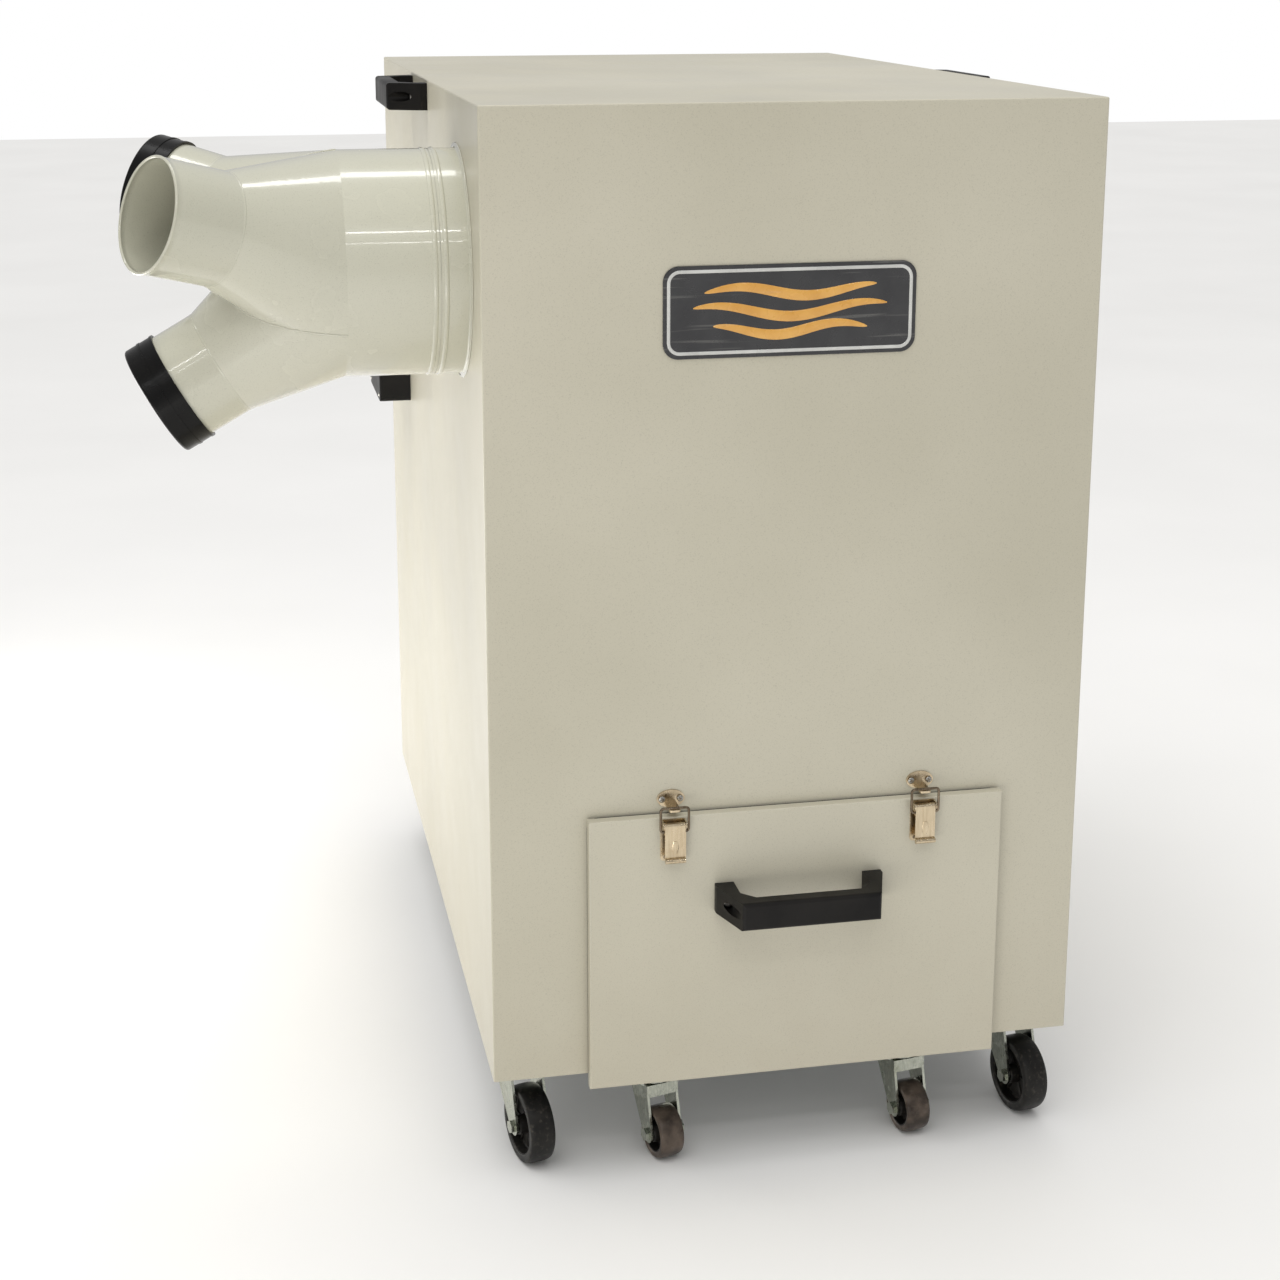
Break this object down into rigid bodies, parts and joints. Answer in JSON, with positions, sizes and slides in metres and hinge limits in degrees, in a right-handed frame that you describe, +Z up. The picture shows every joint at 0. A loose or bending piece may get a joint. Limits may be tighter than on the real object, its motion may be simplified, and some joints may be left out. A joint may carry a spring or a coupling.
{
  "type": "dust collector",
  "caption": "Cabinet dust collector on casters: three-way inlet wye, cartridge filters, fan and a latched dust drawer that rolls out on its own casters.",
  "frame": {"origin": "on the floor, under the middle of the whole machine's box", "axes": "+Z up; the drawer faces -Y; the inlet wye stands out to -X"},
  "size_m": [0.9075, 0.958, 1.01],
  "materials": {
    "cabinet_paint": "semi-gloss enamel",
    "duct_paint": "gloss enamel",
    "grille_paint": "satin enamel",
    "inner_sheet": "galvanised sheet",
    "seal_foam": "closed-cell foam",
    "nameplate_enamel": "enamelled plate",
    "black_moulding": "moulded nylon",
    "cap_plastic": "moulded polythene",
    "screw_steel": "zinc plated",
    "start_green": "gloss",
    "stop_red": "gloss",
    "filter_paper": "pleated cellulose",
    "filter_cap_paint": "satin",
    "impeller_alloy": "cast and machined",
    "shaft_steel": "ground",
    "motor_paint": "satin enamel",
    "latch_nickel": "nickel plated",
    "latch_wire": "dark spring wire",
    "caster_zinc": "bright zinc plated",
    "wheel_rubber": "moulded rubber",
    "tread_brown": "moulded rubber tread"
  },
  "bodies": {
    "cabinet": {"base_frame": "inner_sheet", "cabinet_caster_plates": "caster_zinc", "cabinet_rear_forks": "caster_zinc", "cable_gland": "black_moulding", "drawer_seal": "seal_foam", "drawer_tunnel": "inner_sheet", "exhaust_grille": "grille_paint", "fan_bulkhead": "inner_sheet", "fan_volute": "inner_sheet", "filter_end_caps": "filter_cap_paint", "filter_media": "filter_paper", "filter_tie_rods": "screw_steel", "front_panel": "cabinet_paint", "hopper_plates": "inner_sheet", "inlet_collar": "duct_paint", "inlet_wye": "duct_paint", "latch_catches": "latch_nickel", "left_side_panel": "cabinet_paint", "motor_bearings": "shaft_steel", "motor_end_bells": "motor_paint", "motor_housing": "motor_paint", "nameplate": "nameplate_enamel", "panel_screws": "screw_steel", "rear_panel": "cabinet_paint", "right_side_panel": "cabinet_paint", "side_handles": "black_moulding", "spark_baffle": "inner_sheet", "switch_box": "black_moulding", "top_panel": "cabinet_paint", "tube_sheet": "inner_sheet"},
    "drawer": {"drawer_front": "cabinet_paint", "dust_bin": "inner_sheet", "drawer_rails": "inner_sheet", "drawer_handle": "black_moulding", "drawer_handle_screws": "screw_steel", "latch_bases": "latch_nickel", "drawer_caster_plates": "caster_zinc", "drawer_rear_forks": "caster_zinc"},
    "fan_rotor": {"impeller": "impeller_alloy", "motor_shaft": "shaft_steel"},
    "lower_cap": {"lower_branch_cap": "cap_plastic"},
    "rear_cap": {"rear_branch_cap": "cap_plastic"},
    "start_button": {"start_button": "start_green"},
    "stop_button": {"stop_button": "stop_red"},
    "left_lever": {"left_latch_lever": "latch_nickel"},
    "right_lever": {"right_latch_lever": "latch_nickel"},
    "left_bail": {"left_latch_bail": "latch_wire"},
    "right_bail": {"right_latch_bail": "latch_wire"},
    "front_left_fork": {"front_left_fork": "caster_zinc"},
    "front_right_fork": {"front_right_fork": "caster_zinc"},
    "front_left_wheel": {"front_left_wheel": "wheel_rubber"},
    "front_right_wheel": {"front_right_wheel": "wheel_rubber"},
    "rear_left_wheel": {"rear_left_wheel": "wheel_rubber"},
    "rear_right_wheel": {"rear_right_wheel": "wheel_rubber"},
    "drawer_front_left_fork": {"drawer_front_left_fork": "caster_zinc"},
    "drawer_front_right_fork": {"drawer_front_right_fork": "caster_zinc"},
    "drawer_front_left_wheel": {"drawer_front_left_wheel": "tread_brown"},
    "drawer_front_right_wheel": {"drawer_front_right_wheel": "tread_brown"},
    "drawer_rear_left_wheel": {"drawer_rear_left_wheel": "tread_brown"},
    "drawer_rear_right_wheel": {"drawer_rear_right_wheel": "tread_brown"}
  },
  "joints": [
    {"name": "drawer_slide", "type": "slide", "parent": "cabinet", "child": "drawer", "axis": [0, -1, 0], "range_m": [0, 0.56]},
    {"name": "fan_spin", "type": "hinge", "parent": "cabinet", "child": "fan_rotor", "pos_m": [0.13218, 0.191, 0.6], "axis": [0, 1, 0], "continuous": true},
    {"name": "lower_cap_pull", "type": "slide", "parent": "cabinet", "child": "lower_cap", "axis": [-0.866, 0, -0.5], "range_m": [0, 0.06]},
    {"name": "rear_cap_pull", "type": "slide", "parent": "cabinet", "child": "rear_cap", "axis": [-0.866, 0.433, 0.25], "range_m": [0, 0.06]},
    {"name": "start_press", "type": "slide", "parent": "cabinet", "child": "start_button", "axis": [1, 0, 0], "range_m": [0, 0.003], "stiffness_N_per_m": 400},
    {"name": "stop_press", "type": "slide", "parent": "cabinet", "child": "stop_button", "axis": [1, 0, 0], "range_m": [0, 0.003], "stiffness_N_per_m": 400},
    {"name": "left_latch_lift", "type": "hinge", "parent": "drawer", "child": "left_lever", "pos_m": [0.01768, -0.434, 0.36], "axis": [-1, 0, 0], "range_deg": [0, 130]},
    {"name": "left_bail_turn", "type": "hinge", "parent": "left_lever", "child": "left_bail", "pos_m": [0.01768, -0.434, 0.354], "axis": [-1, 0, 0], "range_deg": [-130, 0]},
    {"name": "right_latch_lift", "type": "hinge", "parent": "drawer", "child": "right_lever", "pos_m": [0.25668, -0.434, 0.36], "axis": [-1, 0, 0], "range_deg": [0, 130]},
    {"name": "right_bail_turn", "type": "hinge", "parent": "right_lever", "child": "right_bail", "pos_m": [0.25668, -0.434, 0.354], "axis": [-1, 0, 0], "range_deg": [-130, 0]},
    {"name": "front_left_swivel", "type": "hinge", "parent": "cabinet", "child": "front_left_fork", "pos_m": [-0.11782, -0.335, 0.0375], "axis": [0, 0, 1], "continuous": true},
    {"name": "front_left_roll", "type": "hinge", "parent": "front_left_fork", "child": "front_left_wheel", "pos_m": [-0.10984, -0.36702, 0.0375], "axis": [0.9703, 0.2419, 0], "continuous": true},
    {"name": "rear_left_roll", "type": "hinge", "parent": "cabinet", "child": "rear_left_wheel", "pos_m": [-0.09982, 0.413, 0.0375], "axis": [1, 0, 0], "continuous": true},
    {"name": "front_right_swivel", "type": "hinge", "parent": "cabinet", "child": "front_right_fork", "pos_m": [0.38218, -0.335, 0.0375], "axis": [0, 0, 1], "continuous": true},
    {"name": "front_right_roll", "type": "hinge", "parent": "front_right_fork", "child": "front_right_wheel", "pos_m": [0.38791, -0.3675, 0.0375], "axis": [0.9848, 0.1736, 0], "continuous": true},
    {"name": "rear_right_roll", "type": "hinge", "parent": "cabinet", "child": "rear_right_wheel", "pos_m": [0.36418, 0.413, 0.0375], "axis": [1, 0, 0], "continuous": true},
    {"name": "drawer_front_left_swivel", "type": "hinge", "parent": "drawer", "child": "drawer_front_left_fork", "pos_m": [0.01218, -0.364, 0.025], "axis": [0, 0, 1], "continuous": true},
    {"name": "drawer_front_left_roll", "type": "hinge", "parent": "drawer_front_left_fork", "child": "drawer_front_left_wheel", "pos_m": [0.0175, -0.38535, 0.025], "axis": [0.9703, 0.2419, 0], "continuous": true},
    {"name": "drawer_rear_left_roll", "type": "hinge", "parent": "drawer", "child": "drawer_rear_left_wheel", "pos_m": [0.01218, 0.0288, 0.025], "axis": [1, 0, 0], "continuous": true},
    {"name": "drawer_front_right_swivel", "type": "hinge", "parent": "drawer", "child": "drawer_front_right_fork", "pos_m": [0.26218, -0.364, 0.025], "axis": [0, 0, 1], "continuous": true},
    {"name": "drawer_front_right_roll", "type": "hinge", "parent": "drawer_front_right_fork", "child": "drawer_front_right_wheel", "pos_m": [0.266, -0.38567, 0.025], "axis": [0.9848, 0.1736, 0], "continuous": true},
    {"name": "drawer_rear_right_roll", "type": "hinge", "parent": "drawer", "child": "drawer_rear_right_wheel", "pos_m": [0.26218, 0.0288, 0.025], "axis": [1, 0, 0], "continuous": true}
  ],
  "couplings": [
    {"joint": "left_bail_turn", "follows": "left_latch_lift", "ratio": -1},
    {"joint": "right_bail_turn", "follows": "right_latch_lift", "ratio": -1}
  ]
}
